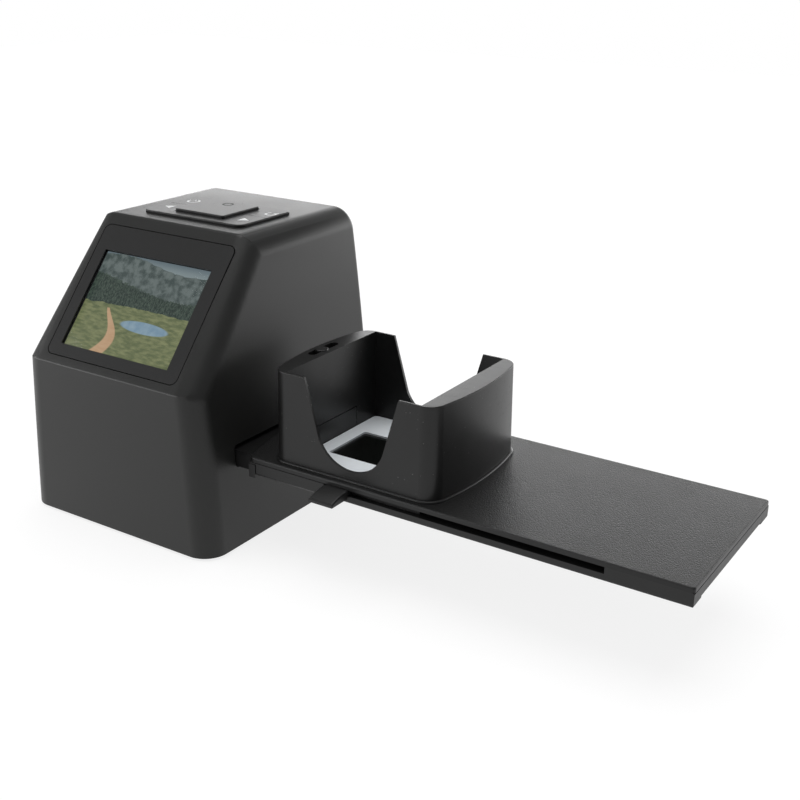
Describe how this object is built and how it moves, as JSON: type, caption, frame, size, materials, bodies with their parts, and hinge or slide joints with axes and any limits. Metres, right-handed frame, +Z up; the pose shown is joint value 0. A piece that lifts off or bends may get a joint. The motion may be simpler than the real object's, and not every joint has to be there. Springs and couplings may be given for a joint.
{
  "type": "film and slide scanner",
  "caption": "Free-standing film scanner with a sloped screen, top keys and a flat feed tray through its side that carries a slide hopper and a pusher.",
  "frame": {"origin": "middle of the overall length and of the housing's depth, on the surface that the feet stand on", "axes": "+X along the feed tray away from the housing, +Y from the screen side to the back, +Z up"},
  "size_m": [0.2438, 0.098, 0.1046],
  "materials": {
    "housing": "fine matt black",
    "tray_black": "pebbled satin black",
    "hopper_black": "satin black",
    "rubber": "matt",
    "screw_steel": "zinc plated",
    "screen_frame": "smooth black",
    "screen_glass": "clear cover",
    "screen_module": "display panel",
    "key_black": "satin black",
    "key_enter": "satin black",
    "light_pipe": "clear rod",
    "circuit_board": "green solder mask",
    "switch_metal": "switch can",
    "led_white": "phosphor",
    "inner_white": "reflector white",
    "diffuser": "opal",
    "inner_black": "light-tight black",
    "spring_steel": "spring steel",
    "lens_glass": "coated glass",
    "chip_black": "moulded",
    "socket_metal": "stamped steel",
    "slide_white": "white mount",
    "film": "dark transparency"
  },
  "bodies": {
    "scanner": {"housing_shell": "housing", "base_plate": "housing", "rubber_feet": "rubber", "case_screws": "screw_steel", "screen_plate": "screen_frame", "screen_glass": "screen_glass", "screen_module": "screen_module", "screen_bracket": "inner_black", "screen_screws": "screw_steel", "light_pipe": "light_pipe", "status_light": "led_white", "key_board": "circuit_board", "key_switches": "switch_metal", "key_board_screws": "screw_steel", "light_box": "inner_white", "led_board": "circuit_board", "backlight_leds": "led_white", "light_diffuser": "diffuser", "film_gate": "inner_black", "film_mask": "inner_black", "holder_springs": "spring_steel", "camera_tunnel": "inner_black", "lens_barrel": "inner_black", "lens_glass": "lens_glass", "image_sensor": "chip_black", "main_board": "circuit_board", "board_screws": "screw_steel", "board_chips": "chip_black", "card_socket": "socket_metal", "usb_socket": "socket_metal"},
    "feed_tray": {"tray_base": "tray_black", "tray_cover": "tray_black", "tray_screws": "screw_steel", "slide_hopper": "hopper_black", "hopper_hatch": "hopper_black"},
    "pusher_bar": {"pusher": "tray_black"},
    "mounted_slide": {"slide_mount": "slide_white", "slide_film": "film"},
    "power_button": {"power_key": "key_black"},
    "left_button": {"left_key": "key_black"},
    "right_button": {"right_key": "key_black"},
    "back_button": {"back_key": "key_black"},
    "enter_button": {"enter_key": "key_enter"}
  },
  "joints": [
    {"name": "tray_pull", "type": "slide", "parent": "scanner", "child": "feed_tray", "axis": [1, 0, 0], "range_m": [0, 0.09]},
    {"name": "pusher_pull", "type": "slide", "parent": "feed_tray", "child": "pusher_bar", "axis": [1, 0, 0], "range_m": [0, 0.0854]},
    {"name": "slide_lift", "type": "slide", "parent": "feed_tray", "child": "mounted_slide", "axis": [0, 0, 1], "range_m": [0, 0.04]},
    {"name": "power_press", "type": "slide", "parent": "scanner", "child": "power_button", "axis": [0, 0, -1], "range_m": [0, 0.0003], "stiffness_N_per_m": 400},
    {"name": "left_press", "type": "slide", "parent": "scanner", "child": "left_button", "axis": [0, 0, -1], "range_m": [0, 0.0003], "stiffness_N_per_m": 400},
    {"name": "right_press", "type": "slide", "parent": "scanner", "child": "right_button", "axis": [0, 0, -1], "range_m": [0, 0.0003], "stiffness_N_per_m": 400},
    {"name": "back_press", "type": "slide", "parent": "scanner", "child": "back_button", "axis": [0, 0, -1], "range_m": [0, 0.0003], "stiffness_N_per_m": 400},
    {"name": "enter_press", "type": "slide", "parent": "scanner", "child": "enter_button", "axis": [0, 0, -1], "range_m": [0, 0.0003], "stiffness_N_per_m": 400}
  ]
}
